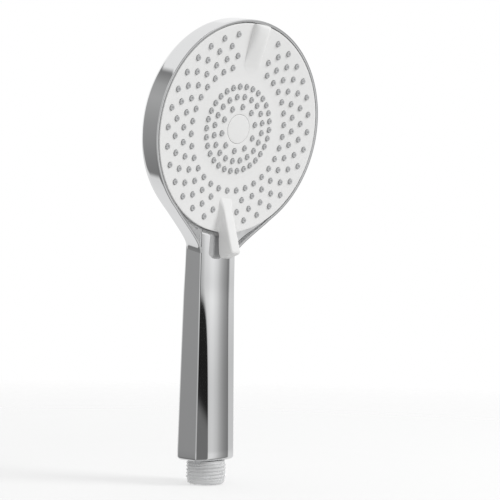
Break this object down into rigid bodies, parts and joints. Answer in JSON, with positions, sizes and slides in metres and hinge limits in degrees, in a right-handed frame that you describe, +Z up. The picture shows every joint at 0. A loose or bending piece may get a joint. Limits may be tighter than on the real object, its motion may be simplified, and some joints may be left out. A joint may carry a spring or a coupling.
{
  "type": "handheld shower head",
  "caption": "Chromed handheld shower head with a turning white spray face, selector lever, silicone nozzles and threaded inlet.",
  "frame": {"origin": "centre of the threaded inlet's end face", "axes": "+Z up along the handle, -Y the spray side, +X to the right seen from the spray side"},
  "size_m": [0.115, 0.0511, 0.2454],
  "materials": {
    "chrome": "polished chrome plating on moulded ABS",
    "plate": "pale grey-white satin plastic",
    "silicone": "grey silicone, soft matt",
    "translucent": "translucent pale grey plastic",
    "acetal": "natural acetal, matt",
    "dark": "dark grey plastic",
    "rubber": "black rubber seal",
    "steel": "stainless steel"
  },
  "bodies": {
    "handle": {"body_shell": "chrome", "inlet_connector": "translucent", "connector_o_ring": "rubber", "inlet_screen": "steel", "flow_regulator": "dark", "regulator_o_ring": "rubber", "water_tube": "acetal", "diverter_base": "acetal", "duct_cover": "acetal", "base_screw_1": "steel", "base_screw_2": "steel", "base_screw_3": "steel", "port_seal": "rubber", "port_spring": "steel", "detent_spring": "steel", "centre_washer": "steel", "centre_screw": "steel"},
    "spray_face": {"jet_plate": "acetal", "jet_screw_1": "steel", "jet_screw_2": "steel", "jet_screw_3": "steel", "nozzle_mat_inner": "silicone", "nozzle_mat_outer": "silicone", "face_plate": "plate", "centre_cap": "plate"},
    "detent": {"detent_ball": "steel"}
  },
  "joints": [
    {"name": "spray_selector", "type": "hinge", "parent": "handle", "child": "spray_face", "pos_m": [0, -0.02, 0.1875], "axis": [0, -0.9694, -0.2453], "range_deg": [-30, 30]},
    {"name": "detent_travel", "type": "slide", "parent": "handle", "child": "detent", "axis": [0, -0.9694, -0.2453], "range_m": [-0.0008, 0], "stiffness_N_per_m": 800, "deforming": ["detent_spring"]}
  ]
}
